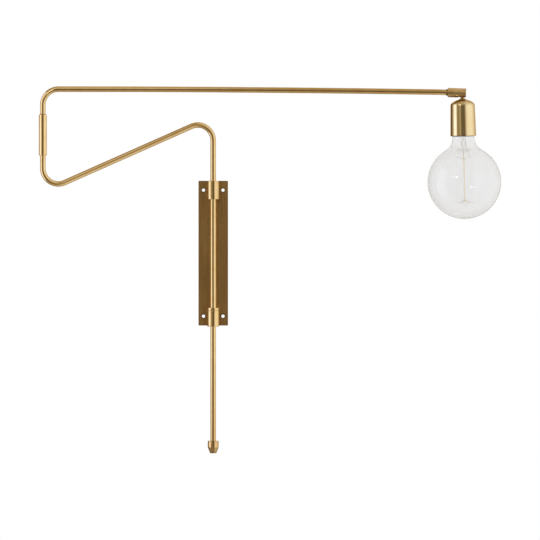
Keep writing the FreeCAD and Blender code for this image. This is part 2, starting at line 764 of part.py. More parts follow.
save("bulb_glass", on_head(bulb_glass()))
save("bulb_cap", on_head(bulb_cap()))
save("bulb_cap_insulator", on_head(bulb_cap_insulator()))
save("bulb_contact", on_head(bulb_contact()))
save("bulb_stem", on_head(bulb_stem()))
save("bulb_lead_wires", *[on_head(wire) for wire in lead_wires()])
save("bulb_support_wires", *[on_head(wire) for wire in support_wires()])
save("bulb_filament", on_head(filament()))
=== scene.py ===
import json
import math

import bpy
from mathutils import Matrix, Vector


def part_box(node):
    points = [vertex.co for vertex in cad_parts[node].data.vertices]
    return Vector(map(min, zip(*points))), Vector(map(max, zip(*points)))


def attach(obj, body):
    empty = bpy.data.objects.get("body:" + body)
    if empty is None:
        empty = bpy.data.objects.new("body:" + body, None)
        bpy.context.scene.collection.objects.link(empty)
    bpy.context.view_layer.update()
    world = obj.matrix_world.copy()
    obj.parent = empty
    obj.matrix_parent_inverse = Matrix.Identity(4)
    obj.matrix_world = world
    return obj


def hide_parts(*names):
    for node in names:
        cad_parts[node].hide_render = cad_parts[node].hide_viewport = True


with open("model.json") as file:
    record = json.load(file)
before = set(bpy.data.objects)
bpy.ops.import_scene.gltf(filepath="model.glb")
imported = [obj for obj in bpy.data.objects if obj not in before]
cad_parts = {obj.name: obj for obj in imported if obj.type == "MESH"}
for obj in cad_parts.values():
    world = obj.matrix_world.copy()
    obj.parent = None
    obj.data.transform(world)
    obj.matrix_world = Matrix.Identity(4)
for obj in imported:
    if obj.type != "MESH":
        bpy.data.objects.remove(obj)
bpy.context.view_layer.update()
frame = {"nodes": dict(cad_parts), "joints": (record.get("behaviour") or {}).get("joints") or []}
bpy.ops.object.select_all(action="DESELECT")

# Wall plate: a flat brass bar, brushed along its length and left to darken, with painted shade
# along its edges and round the four open holes for the wall screws.
MM = 0.001
PLATE_BRIGHT = (0.71, 0.47, 0.20)
PLATE_TARNISH = (0.58, 0.36, 0.14)
PLATE_EDGE_SHADE = (0.24, 0.13, 0.045)
PLATE_HALF_WIDTH = 25 * MM
PLATE_HALF_HEIGHT = 122.5 * MM
WALL_HOLE_ACROSS = 16.5 * MM
WALL_HOLE_UP = 106.75 * MM
WALL_HOLE_RADIUS = 2.75 * MM
BRASS_EDGE = (0.85, 0.70, 0.48)
BLOTCH_SCALE = 55
TOOL_MARK_DEPTH = 0.2 * MM


def add_node(tree, kind, inputs, **settings):
    node = tree.nodes.new(kind)
    for name, value in settings.items():
        setattr(node, name, value)
    for name, value in inputs.items():
        if isinstance(value, bpy.types.NodeSocket):
            tree.links.new(value, node.inputs[name])
        else:
            node.inputs[name].default_value = value
    return node


def new_finish(name):
    finish = bpy.data.materials.new(name)
    finish.use_nodes = True
    tree = finish.node_tree
    place = add_node(tree, "ShaderNodeTexCoord", {}).outputs["Object"]
    return finish, tree, tree.nodes["Principled BSDF"], place


def cloud_pattern(tree, place, scale, detail=4.0, stretch=(1, 1, 1)):
    stretched = add_node(tree, "ShaderNodeMapping", {"Vector": place, "Scale": stretch})
    noise = add_node(tree, "ShaderNodeTexNoise",
                     {"Vector": stretched.outputs["Vector"], "Scale": scale, "Detail": detail})
    return noise.outputs["Fac"]


def spread(tree, value, low, high, start=0.3, end=0.7):
    ranged = add_node(tree, "ShaderNodeMapRange",
                      {"Value": value, "From Min": start, "From Max": end, "To Min": low, "To Max": high})
    return ranged.outputs["Result"]


def blend(tree, share, first, second):
    mix = add_node(tree, "ShaderNodeMix", {}, data_type="RGBA")
    for socket, value in ((mix.inputs[0], share), (mix.inputs[6], first), (mix.inputs[7], second)):
        if isinstance(value, bpy.types.NodeSocket):
            tree.links.new(value, socket)
        else:
            socket.default_value = value if isinstance(value, float) else (*value, 1)
    return mix.outputs[2]


def brass_finish(name, bright, tarnish, smooth, rough, scratch=0.02, grain=700, stretch=(1, 1, 1),
                 blotch_stretch=(1, 1, 1)):
    """Brass with blotchy tarnish and fine tool marks that run along the short scale of stretch."""
    finish, tree, shader, place = new_finish(name)
    blotch = cloud_pattern(tree, place, BLOTCH_SCALE, 6, blotch_stretch)
    marks = cloud_pattern(tree, place, grain, 3, stretch)
    tone = blend(tree, spread(tree, blotch, 0, 1, 0.38, 0.66), bright, tarnish)
    tree.links.new(blend(tree, spread(tree, marks, 0, 0.35), tone, tarnish), shader.inputs["Base Color"])
    tree.links.new(spread(tree, marks, smooth, rough), shader.inputs["Roughness"])
    bump = add_node(tree, "ShaderNodeBump", {"Height": marks, "Strength": scratch, "Distance": TOOL_MARK_DEPTH})
    tree.links.new(bump.outputs["Normal"], shader.inputs["Normal"])
    shader.inputs["Metallic"].default_value = 1
    shader.inputs["Specular Tint"].default_value = (*BRASS_EDGE, 1)
    return finish


def dress(finish, *names):
    for name in names:
        frame["nodes"][name].data.materials.clear()
        frame["nodes"][name].data.materials.append(finish)


def maths(tree, operation, *values):
    return add_node(tree, "ShaderNodeMath", dict(enumerate(values)), operation=operation).outputs[0]


def stain_and_shade(finish, share, colour):
    """Puts one more colour over the finish, where the share says so; used for real tints and for painted shade."""
    tree = finish.node_tree
    socket = tree.nodes["Principled BSDF"].inputs["Base Color"]
    tree.links.new(blend(tree, share, socket.links[0].from_socket, colour), socket)


def place_parts(finish):
    tree = finish.node_tree
    split = add_node(tree, "ShaderNodeSeparateXYZ", {0: tree.nodes["Texture Coordinate"].outputs["Object"]})
    return tree, [split.outputs[axis] for axis in "XYZ"]


def distance(tree, first, second):
    """How far a place lies from an axis, by its offsets from it in two directions."""
    offset = add_node(tree, "ShaderNodeCombineXYZ", {0: first, 1: second}).outputs[0]
    return add_node(tree, "ShaderNodeVectorMath", {0: offset}, operation="LENGTH").outputs["Value"]


plate_finish = brass_finish("darkened_plate_brass", PLATE_BRIGHT, PLATE_TARNISH, smooth=0.26, rough=0.38, scratch=0.12,
                            grain=1500, stretch=(1, 1, 0.02), blotch_stretch=(1, 1, 0.25))
tree, (side, deep, tall) = place_parts(plate_finish)
side, tall = maths(tree, "ABSOLUTE", side), maths(tree, "ABSOLUTE", tall)
to_edge = maths(tree, "MINIMUM", maths(tree, "SUBTRACT", PLATE_HALF_WIDTH, side),
                maths(tree, "SUBTRACT", PLATE_HALF_HEIGHT, tall))
from_hole = distance(tree, maths(tree, "SUBTRACT", side, WALL_HOLE_ACROSS),
                     maths(tree, "SUBTRACT", tall, WALL_HOLE_UP))
# Painted shade: darker along the plate's edges and in a ring round each wall hole.
edge_and_hole_shade = maths(tree, "MAXIMUM", spread(tree, to_edge, 0.65, 0, 0.8 * MM, 1.6 * MM),
              spread(tree, from_hole, 0.9, 0, WALL_HOLE_RADIUS + 0.6 * MM, WALL_HOLE_RADIUS + 2 * MM))
stain_and_shade(plate_finish, edge_and_hole_shade, PLATE_EDGE_SHADE)
dress(plate_finish, "wall_plate")

# Brackets: solid brass blocks with a round front, screwed on from behind the plate,
# and turned nylon bushes in which the upright runs.
TUBE_BRIGHT = (0.86, 0.66, 0.35)
TUBE_TARNISH = (0.80, 0.57, 0.27)

bracket_brass = brass_finish("satin_bracket_brass", TUBE_BRIGHT, TUBE_TARNISH, smooth=0.12, rough=0.18)
dress(bracket_brass, "upper_bracket", "lower_bracket")


def plain_finish(name, colour, shade, smooth, rough, metallic=0.0):
    """Moulded, fired or plated stock with a little unevenness in its colour and gloss."""
    finish, tree, shader, place = new_finish(name)
    blotch = cloud_pattern(tree, place, 180, 5)
    tree.links.new(blend(tree, spread(tree, blotch, 0, 1), colour, shade), shader.inputs["Base Color"])
    tree.links.new(spread(tree, blotch, smooth, rough), shader.inputs["Roughness"])
    shader.inputs["Metallic"].default_value = metallic
    return finish


nylon = plain_finish("natural_nylon", (0.80, 0.77, 0.69), (0.72, 0.68, 0.60), smooth=0.38, rough=0.52)
dress(nylon, "upper_bush", "lower_bush", "elbow_washer")
screw_steel = plain_finish("zinc_plated_steel", (0.62, 0.62, 0.60), (0.50, 0.50, 0.52), smooth=0.25, rough=0.4,
                           metallic=1.0)
dress(screw_steel, "bracket_screws")

# Lower arm: one length of brass tube bent twice, with the stop collar that carries it
# on the lower bracket and the turned cord gland at its foot.
FOOT_DARKER_TONE = (0.62, 0.41, 0.17)
FOOT_TOP = -150 * MM
GLAND_BRIGHT = (0.80, 0.58, 0.29)
GLAND_TARNISH = (0.66, 0.44, 0.19)
GLAND_SHADE = (0.40, 0.28, 0.13)
GLAND_TOP = -317.5 * MM
GLAND_SHOULDER = GLAND_TOP - 11.5 * MM
GLAND_TIP = GLAND_TOP - 19.5 * MM
# The colour of the painted shade laid in where parts meet.
JOINT_SHADE = (0.22, 0.12, 0.04)

tube_brass = brass_finish("drawn_tube_brass", TUBE_BRIGHT, TUBE_TARNISH, smooth=0.08, rough=0.14)
tree, (side, deep, tall) = place_parts(tube_brass)
# The tube is darker towards its foot, from FOOT_TOP down to the gland.
stain_and_shade(tube_brass, spread(tree, tall, 0.65, 0, GLAND_TOP, FOOT_TOP), FOOT_DARKER_TONE)
dress(tube_brass, "lower_arm_tube")
dress(bracket_brass, "stop_collar")
gland_brass = brass_finish("turned_gland_brass", GLAND_BRIGHT, GLAND_TARNISH, smooth=0.14, rough=0.24, scratch=0.04,
                           stretch=(1, 1, 0.1))
tree, (side, deep, tall) = place_parts(gland_brass)
# Painted shade: a dark line where the tube enters the gland, and another at its tip.
stain_and_shade(gland_brass, spread(tree, tall, 0, 0.8, GLAND_TOP - 0.8 * MM, GLAND_TOP - 0.1 * MM), JOINT_SHADE)
stain_and_shade(gland_brass, spread(tree, tall, 0.6, 0, GLAND_SHOULDER - 1 * MM, GLAND_SHOULDER + 1 * MM), GLAND_SHADE)
stain_and_shade(gland_brass, spread(tree, tall, 0.8, 0, GLAND_TIP - 1 * MM, GLAND_TIP + 1 * MM), JOINT_SHADE)
dress(gland_brass, "cord_gland")

# Grub screws: short steel screws with a hexagon socket, which pinch the collar and the
# gland on the tube from the wall side. Each is driven in just below the brass around it.
GRUB_RADIUS = 1.5 * MM
GRUB_CHAMFER = 0.3 * MM
GRUB_SIDES = 36
SOCKET_CORNER = 1.5 * MM / math.sqrt(3)
SOCKET_DEPTH = 1.2 * MM
NEAR = 0.01 * MM
ON_THE_TUBE = 4.77 * MM
REST_SWING = 11.0
UPRIGHT = (0, -14 * MM)


def turned(name, profile, sides, closed=True):
    """A ring is drawn at the first (radius, height) of the profile and pulled along the rest."""
    radius, height = profile[0]
    bpy.ops.object.select_all(action="DESELECT")
    bpy.ops.mesh.primitive_circle_add(vertices=sides, radius=radius, location=(0, 0, height))
    piece = bpy.context.object
    piece.name = piece.data.name = name
    bpy.ops.object.transform_apply(location=True)
    bpy.ops.object.mode_set(mode="EDIT")
    for next_radius, next_height in profile[1:]:
        bpy.ops.mesh.extrude_region_move(TRANSFORM_OT_translate={"value": (0, 0, next_height - height)})
        scale = next_radius / radius
        bpy.ops.transform.resize(value=(scale, scale, 1), center_override=(0, 0, 0))
        radius, height = next_radius, next_height
    bpy.ops.mesh.merge(type="CENTER")
    if closed:
        bpy.ops.mesh.select_all(action="DESELECT")
        bpy.ops.mesh.select_non_manifold()
        bpy.ops.mesh.merge(type="CENTER")
    bpy.ops.mesh.select_all(action="SELECT")
    bpy.ops.mesh.normals_make_consistent(inside=False)
    bpy.ops.object.mode_set(mode="OBJECT")
    bpy.ops.object.shade_smooth_by_angle(angle=math.radians(40))
    return piece


def pick_points(piece, wanted):
    """Selects the points of a piece that the given test wants, and nothing else."""
    bpy.ops.object.mode_set(mode="EDIT")
    bpy.ops.mesh.select_all(action="DESELECT")
    bpy.ops.mesh.select_mode(type="VERT")
    bpy.ops.object.mode_set(mode="OBJECT")
    for point in piece.data.vertices:
        point.select = wanted(point.co)
    bpy.ops.object.mode_set(mode="EDIT")


def grub_screw(node, body, axis, swing, tip, outer_end):
    """A screw from the tip to the outer end, both measured from the upright axis that it points at."""
    length = outer_end - tip
    screw = turned(node + "_socket", [(GRUB_RADIUS - GRUB_CHAMFER, 0), (GRUB_RADIUS, -GRUB_CHAMFER),
                                      (GRUB_RADIUS, GRUB_CHAMFER - length), (GRUB_RADIUS - GRUB_CHAMFER, -length)],
                   GRUB_SIDES, closed=False)
    bpy.ops.object.mode_set(mode="EDIT")
    bpy.ops.mesh.select_all(action="DESELECT")
    bpy.ops.mesh.primitive_circle_add(vertices=6, radius=SOCKET_CORNER)
    pick_points(screw, lambda place: abs(place.z) < NEAR)
    bpy.ops.mesh.bridge_edge_loops()
    pick_points(screw, lambda place: abs(place.z) < NEAR and math.hypot(place.x, place.y) < SOCKET_CORNER + NEAR)
    bpy.ops.mesh.extrude_region_move(TRANSFORM_OT_translate={"value": (0, 0, -SOCKET_DEPTH)})
    bpy.ops.mesh.edge_face_add()
    bpy.ops.mesh.select_all(action="SELECT")
    bpy.ops.mesh.normals_make_consistent(inside=False)
    bpy.ops.object.mode_set(mode="OBJECT")
    bpy.ops.object.shade_smooth_by_angle(angle=math.radians(30))
    low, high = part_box(node)
    height = (low[2] + high[2]) / 2
    turn = math.radians(swing)
    screw.rotation_euler = (-math.pi / 2, 0, turn)
    screw.location = (axis[0] - outer_end * math.sin(turn), axis[1] + outer_end * math.cos(turn), height)
    bpy.ops.object.transform_apply(location=True, rotation=True)
    screw.data.materials.append(screw_steel)
    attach(screw, body)
    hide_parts(node)


grub_screw("stop_collar_screw", "lower_arm", UPRIGHT, REST_SWING, tip=ON_THE_TUBE, outer_end=9.6 * MM)
grub_screw("cord_gland_screw", "lower_arm", UPRIGHT, REST_SWING, tip=ON_THE_TUBE, outer_end=9.05 * MM)

# Elbow: a polished brass sleeve in which the leg of the upper arm turns. One grub screw
# clamps it on the stub of the lower arm, and the tip of another keeps the leg in.
SLEEVE_BRIGHT = (0.90, 0.69, 0.38)
SLEEVE_TARNISH = (0.84, 0.60, 0.29)


def joint_place(name):
    return next(joint["pos_m"] for joint in frame["joints"] if joint["name"] == name)


sleeve_brass = brass_finish("polished_sleeve_brass", SLEEVE_BRIGHT, SLEEVE_TARNISH, smooth=0.04, rough=0.08,
                            scratch=0.015)
dress(sleeve_brass, "elbow_sleeve")
elbow_place = joint_place("elbow_swing")
grub_screw("elbow_fixing_screw", "lower_arm", elbow_place, 0, tip=ON_THE_TUBE, outer_end=6.6 * MM)
grub_screw("elbow_retaining_screw", "lower_arm", elbow_place, 0, tip=4.5 * MM, outer_end=6.6 * MM)

# Upper arm: the same tube with one bend, and at its end a turned brass bar that a grub
# screw holds on. The bar is slotted for the knuckle, and the steel pin crosses the slot.
FITTING_BRIGHT = (0.98, 0.77, 0.45)
FITTING_TARNISH = (0.82, 0.60, 0.31)
FITTING_BACK = 396.3 * MM
SLEEVE_TOP = 233.7 * MM

pin_place = joint_place("head_tilt")
arm_brass = brass_finish("drawn_arm_brass", TUBE_BRIGHT, TUBE_TARNISH, smooth=0.10, rough=0.16)
tree, (side, deep, tall) = place_parts(arm_brass)
# Painted shade: a dark line on the leg just above the sleeve, where the gap lies in shadow.
stain_and_shade(arm_brass, spread(tree, tall, 0.8, 0, SLEEVE_TOP + 0.8 * MM, SLEEVE_TOP + 1.6 * MM), JOINT_SHADE)
dress(arm_brass, "upper_arm_tube")
fitting_brass = brass_finish("dull_turned_brass", FITTING_BRIGHT, FITTING_TARNISH, smooth=0.22, rough=0.36,
                             scratch=0.08, grain=900, stretch=(1, 0.1, 0.1))
tree, (side, deep, tall) = place_parts(fitting_brass)
# Painted shade: a dark line where the tube enters the back of the fitting.
stain_and_shade(fitting_brass, spread(tree, side, 0.9, 0, FITTING_BACK - 0.4 * MM, FITTING_BACK + 0.4 * MM), JOINT_SHADE)
above_pin = maths(tree, "SUBTRACT", tall, pin_place[2])
# Painted shade: the fitting darkens below the pin, towards its slotted underside.
stain_and_shade(fitting_brass, spread(tree, above_pin, 0.92, 0, -6.6 * MM, -2.4 * MM), JOINT_SHADE)
dress(fitting_brass, "end_fitting")
screw_low, screw_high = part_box("end_fitting_screw")
screw_axis = ((screw_low[0] + screw_high[0]) / 2, pin_place[1])
grub_screw("end_fitting_screw", "upper_arm", screw_axis, 0, tip=ON_THE_TUBE, outer_end=7.7 * MM)
dress(screw_steel, "knuckle_pin")

# Lamp head: the knuckle link that hangs on the pin, the spun and polished cover clamped
# under its collar, and the black lampholder with its ceramic and contacts inside.
HEAD_LEAN = math.radians(1.3)
# Colours of the knuckle link, darkened all over as painted shade.
LINK_SHADED_BRIGHT = (0.56, 0.38, 0.18)
LINK_SHADED_TARNISH = (0.40, 0.26, 0.11)
COVER_BRIGHT = (0.88, 0.74, 0.47)
COVER_TARNISH = (0.84, 0.68, 0.40)
COVER_RIM_DARK_TONE = (0.30, 0.20, 0.09)
COVER_SHOULDER = pin_place[2] - 19.5 * MM
COVER_RIM = pin_place[2] - 72.4 * MM
COVER_RIM_RADIUS = 21.85 * MM
COVER_TAPER = 0.0236
DOME_DULLNESS = 0.16
INSIDE_DULLNESS = 0.5

# The link's brass is painted darker as shade where it hangs in the slot; its blotches are random tone.
link_brass = brass_finish("turned_link_brass", LINK_SHADED_BRIGHT, LINK_SHADED_TARNISH, smooth=0.2, rough=0.34, scratch=0.05,
                          stretch=(1, 1, 0.1))
dress(link_brass, "knuckle_link")
cover_brass = brass_finish("polished_cover_brass", COVER_BRIGHT, COVER_TARNISH, smooth=0.03, rough=0.07, grain=900,
                           stretch=(0.04, 0.04, 1))
tree, (side, deep, tall) = place_parts(cover_brass)
lean = math.tan(HEAD_LEAN)
aside = maths(tree, "SUBTRACT", side, pin_place[0])
above_pin = maths(tree, "SUBTRACT", tall, pin_place[2])
along = maths(tree, "SUBTRACT", tall, maths(tree, "MULTIPLY", aside, lean))
from_axis = distance(tree, maths(tree, "ADD", aside, maths(tree, "MULTIPLY", above_pin, lean)),
                     maths(tree, "SUBTRACT", deep, pin_place[1]))
above_rim = maths(tree, "SUBTRACT", along, COVER_RIM)
outer = maths(tree, "SUBTRACT", COVER_RIM_RADIUS, maths(tree, "MULTIPLY", above_rim, COVER_TAPER))
# Darker along the bottom 2 mm of the cover, strongest over its left half and centre.
rim_darkening = maths(tree, "MULTIPLY", spread(tree, above_rim, 1, 0, 0.8 * MM, 2.2 * MM),
                  spread(tree, aside, 0.35, 0, 1 * MM, 6 * MM))
stain_and_shade(cover_brass, rim_darkening, COVER_RIM_DARK_TONE)
dome = spread(tree, along, 0, DOME_DULLNESS, COVER_SHOULDER, COVER_SHOULDER + 4 * MM)
inside = maths(tree, "MULTIPLY",
               spread(tree, maths(tree, "SUBTRACT", outer, from_axis), 0, INSIDE_DULLNESS, 0.5 * MM, 0.8 * MM),
               spread(tree, along, 1, 0, COVER_SHOULDER - 6 * MM, COVER_SHOULDER - 2 * MM))
roughness = tree.nodes["Principled BSDF"].inputs["Roughness"]
dull = maths(tree, "ADD", dome, inside)
tree.links.new(maths(tree, "ADD", roughness.links[0].from_socket, dull), roughness)
dress(cover_brass, "lamp_cover")
black = plain_finish("moulded_black", (0.035, 0.033, 0.032), (0.05, 0.047, 0.045), smooth=0.3, rough=0.45)
dress(black, "lampholder_body")
ceramic = plain_finish("glazed_ceramic", (0.84, 0.82, 0.78), (0.78, 0.76, 0.71), smooth=0.12, rough=0.22)
dress(ceramic, "lampholder_insulator")
contact_brass = plain_finish("pressed_contact_brass", (0.75, 0.58, 0.30), (0.62, 0.45, 0.21), smooth=0.22, rough=0.34,
                             metallic=1.0)
dress(contact_brass, "lampholder_shell", "lampholder_contact")
dress(screw_steel, "terminal_screws")

# Bulb envelope: thin clear glass, blown as a globe with a flared neck and sealed into
# the cap. Heights here are below the knuckle pin, along the head.
GLASS_CLEAR = (0.914, 0.914, 0.914)
GLASS_SHADE = (0.899, 0.899, 0.90)
GLASS_WALL = 1.0 * MM
GLOBE_RADIUS = 62.5 * MM
GLOBE_CENTRE = -150.339 * MM
NECK_RADIUS = 19.2 * MM
NECK_FLARE = 21.0 * MM
SEAL_RADIUS = 12.6 * MM
SEAL_TOP = -58.839 * MM
SEAL_BOTTOM = -64.839 * MM
NECK_SHOULDER = -74.839 * MM
GLASS_SIDES = 200


def arc_profile(centre_radius, centre_height, radius, start, end, steps):
    """Points of a (radius, height) profile on an arc, from one angle to another in degrees."""
    turns = [math.radians(start + (end - start) * step / steps) for step in range(steps + 1)]
    return [(centre_radius + radius * math.cos(turn), centre_height + radius * math.sin(turn)) for turn in turns]


def hang_on_head(piece, finish, node):
    """Leans a piece made upright under the pin as the head hangs, and puts it in its node's stead."""
    bpy.ops.object.select_all(action="DESELECT")
    piece.select_set(True)
    bpy.context.view_layer.objects.active = piece
    piece.rotation_euler = (0, -HEAD_LEAN, 0)
    piece.location = pin_place
    bpy.ops.object.transform_apply(location=True, rotation=True)
    piece.data.materials.append(finish)
    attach(piece, "lamp_head")
    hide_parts(node)


def glass_finish(name, colour, shade, ior, rough, wave):
    """Blown or drawn glass: nearly even in colour, with a faint waviness left by the flame."""
    finish, tree, shader, place = new_finish(name)
    cloud = cloud_pattern(tree, place, 30, 2)
    tree.links.new(blend(tree, spread(tree, cloud, 0, 1), colour, shade), shader.inputs["Base Color"])
    tree.links.new(spread(tree, cloud, 0, rough), shader.inputs["Roughness"])
    bump = add_node(tree, "ShaderNodeBump", {"Height": cloud, "Strength": wave, "Distance": 0.5 * MM})
    tree.links.new(bump.outputs["Normal"], shader.inputs["Normal"])
    shader.inputs["Transmission Weight"].default_value = 1
    shader.inputs["IOR"].default_value = ior
    return finish


half_step = (NECK_RADIUS - SEAL_RADIUS) / 2
half_drop = (SEAL_BOTTOM - NECK_SHOULDER) / 2
curl_turn = 2 * math.degrees(math.atan2(half_step, half_drop))
curl = half_drop / math.sin(math.radians(curl_turn))
flare_height = GLOBE_CENTRE + math.sqrt((GLOBE_RADIUS + NECK_FLARE) ** 2 - (NECK_RADIUS + NECK_FLARE) ** 2)
meet = math.degrees(math.atan2(flare_height - GLOBE_CENTRE, NECK_RADIUS + NECK_FLARE))
globe = turned("bulb_glass_blown", [(SEAL_RADIUS, SEAL_TOP)]
               + arc_profile(SEAL_RADIUS + curl, SEAL_BOTTOM, curl, 180, 180 + curl_turn, 9)
               + arc_profile(NECK_RADIUS - curl, NECK_SHOULDER, curl, curl_turn, 0, 9)[1:]
               + arc_profile(NECK_RADIUS + NECK_FLARE, flare_height, NECK_FLARE, 180, 180 + meet, 36)
               + arc_profile(0, GLOBE_CENTRE, GLOBE_RADIUS, meet, -89, 140)[1:], GLASS_SIDES, closed=False)
wall = globe.modifiers.new("wall", "SOLIDIFY")
wall.thickness, wall.offset = GLASS_WALL, -1
bpy.ops.object.modifier_apply(modifier="wall")
clear_glass = glass_finish("clear_glass", GLASS_CLEAR, GLASS_SHADE, ior=1.46, rough=0.006, wave=0.004)
hang_on_head(globe, clear_glass, "bulb_glass")

# Bulb cap: a rolled aluminium shell cemented on the sealed end of the glass, with a black
# glass insulator and a metal contact at its tip. It screws into the lampholder.
aluminium = plain_finish("rolled_aluminium", (0.80, 0.80, 0.79), (0.70, 0.70, 0.70), smooth=0.22, rough=0.34,
                         metallic=1.0)
dress(aluminium, "bulb_cap", "bulb_contact")
cap_glass = plain_finish("black_cap_glass", (0.03, 0.03, 0.035), (0.04, 0.04, 0.045), smooth=0.08, rough=0.16)
dress(cap_glass, "bulb_cap_insulator")

# Bulb stem: a glass tube flared into the seal, pinched flat round the lead wires, and
# drawn out into a rod with two buttons that hold the support wires.
STEM_TOP = -58.939 * MM
STEM_FLARE_RADIUS = 11.5 * MM
STEM_TUBE_RADIUS = 4.5 * MM
STEM_WALL = 0.7 * MM
PINCH_TOP = -79.0 * MM
PINCH_BOTTOM = -90.0 * MM
PINCH_FLATNESS = 0.42
ROD_RADIUS = 1.0 * MM
BUTTON_RADIUS = 2.1 * MM
STEM_CLEAR = (0.96, 0.955, 0.94)
STEM_SHADE = (0.93, 0.925, 0.91)
ROD_AMBER = (0.93, 0.80, 0.62)
UPPER_CROWN = GLOBE_CENTRE + 39.2 * MM
LOWER_CROWN = GLOBE_CENTRE - 31.3 * MM
STEM_SIDES = 40

stem_flare = STEM_FLARE_RADIUS - STEM_TUBE_RADIUS
flare_foot = STEM_TOP - stem_flare
stem_bore = STEM_TUBE_RADIUS - STEM_WALL
button_edge = BUTTON_RADIUS * 1.2
bore = ([(0.4 * MM, PINCH_TOP - 1 * MM), (stem_bore, PINCH_TOP + 1 * MM), (stem_bore, flare_foot - 0.3 * MM)]
        + arc_profile(STEM_FLARE_RADIUS, flare_foot, stem_flare + STEM_WALL, 180, 100, 12))
tube = ([(STEM_FLARE_RADIUS - 0.6 * MM, STEM_TOP)]
        + arc_profile(STEM_FLARE_RADIUS, flare_foot - 1 * MM, stem_flare, 90, 180, 12)
        + [(STEM_TUBE_RADIUS, flare_foot - 1.3 * MM), (STEM_TUBE_RADIUS, PINCH_TOP + 0.3 * MM)])
pinch = [(STEM_TUBE_RADIUS, PINCH_TOP), (STEM_TUBE_RADIUS * 1.02, PINCH_TOP - 3 * MM),
         (STEM_TUBE_RADIUS, PINCH_BOTTOM + 3 * MM), (STEM_TUBE_RADIUS * 0.8, PINCH_BOTTOM + 0.8 * MM)]
rod = ([(ROD_RADIUS * 1.6, PINCH_BOTTOM), (ROD_RADIUS, PINCH_BOTTOM - 2.5 * MM),
        (ROD_RADIUS, UPPER_CROWN + button_edge)]
       + arc_profile(0, UPPER_CROWN, BUTTON_RADIUS, 60, -60, 10)
       + [(ROD_RADIUS, UPPER_CROWN - button_edge), (ROD_RADIUS, LOWER_CROWN + button_edge)]
       + arc_profile(0, LOWER_CROWN, BUTTON_RADIUS, 60, -80, 10))
stem = turned("bulb_stem_drawn", bore + tube + pinch + rod, STEM_SIDES)
pick_points(stem, lambda place: PINCH_BOTTOM - 0.1 * MM < place.z < PINCH_TOP - 1 * MM)
bpy.ops.transform.resize(value=(1, PINCH_FLATNESS, 1), center_override=(0, 0, 0))
bpy.ops.object.mode_set(mode="OBJECT")
stem_glass = glass_finish("stem_glass", STEM_CLEAR, STEM_SHADE, ior=1.2, rough=0.02, wave=0.01)
tree, (side, deep, tall) = place_parts(stem_glass)
rod_top, crown_top = pin_place[2] + PINCH_BOTTOM, pin_place[2] + UPPER_CROWN
amber = maths(tree, "MINIMUM", spread(tree, tall, 1, 0, rod_top - 4 * MM, rod_top + 1 * MM),
              spread(tree, tall, 1, 0.2, crown_top + 2 * MM, crown_top + 6 * MM))
stain_and_shade(stem_glass, amber, ROD_AMBER)
hang_on_head(stem, stem_glass, "bulb_stem")

# Lead and support wires: drawn wire fused into the pinch and the buttons, each bent into a
# small hook that carries the filament.
LEAD_THICKNESS = 0.5 * MM
SUPPORT_THICKNESS = 0.24 * MM
CROWN_RADIUS = 14.0 * MM
CROWN_RISE = 2.8 * MM
CROWN_START = -45.0
CROWN_STEPS = 6
HOOK_RADIUS = 0.5 * MM
LEAD_SPACING = 6.4 * MM
LAST_HOOK = 2 * CROWN_STEPS - 2
LAST_STEP = LAST_HOOK + 0.43


def crown_point(step, radius, height):
    turn = math.radians(CROWN_START + step * 180 / CROWN_STEPS)
    return radius * math.cos(turn), radius * math.sin(turn), height


def drawn_wires(name, runs, thickness):
    """Each run of points is one wire, bent smoothly past its points and closed at its ends."""
    path = bpy.data.curves.new(name, "CURVE")
    path.dimensions, path.bevel_depth, path.bevel_resolution = "3D", thickness / 2, 2
    path.use_fill_caps, path.resolution_u = True, 4
    for points in runs:
        spline = path.splines.new("NURBS")
        spline.points.add(len(points) - 1)
        for point, place in zip(spline.points, points):
            point.co = (*place, 1)
        spline.order_u, spline.use_endpoint_u = 3, True
    wires = bpy.data.objects.new(name, path)
    bpy.context.scene.collection.objects.link(wires)
    bpy.ops.object.select_all(action="DESELECT")
    wires.select_set(True)
    bpy.context.view_layer.objects.active = wires
    bpy.ops.object.convert(target="MESH")
    return bpy.context.object


def hook(step, height, rise):
    """The end of a wire: level at first, then once round the filament."""
    side = math.copysign(HOOK_RADIUS, rise)
    return [crown_point(step, CROWN_RADIUS - HOOK_RADIUS, height),
            crown_point(step, CROWN_RADIUS + 2 * HOOK_RADIUS, height),
            crown_point(step, CROWN_RADIUS + 2 * HOOK_RADIUS, height + 2 * side),
            crown_point(step, CROWN_RADIUS - 0.5 * HOOK_RADIUS, height + 2 * side),
            crown_point(step, CROWN_RADIUS - HOOK_RADIUS, height + side)]


def support_run(step, button, rise):
    return [crown_point(step, BUTTON_RADIUS * 0.6, button), crown_point(step, BUTTON_RADIUS * 1.6, button),
            crown_point(step, CROWN_RADIUS * 0.35, button + rise * 0.5),
            crown_point(step, CROWN_RADIUS * 0.55, button + rise), *hook(step, button + rise, rise)]


def lead_run(side, step):
    return [(side * LEAD_SPACING / 2, 0, PINCH_TOP - 2 * MM), (side * LEAD_SPACING / 2, 0, PINCH_BOTTOM - 3 * MM),
            crown_point(step, CROWN_RADIUS * 0.9, UPPER_CROWN + 3 * CROWN_RISE),
            *hook(step, UPPER_CROWN + CROWN_RISE, CROWN_RISE)]


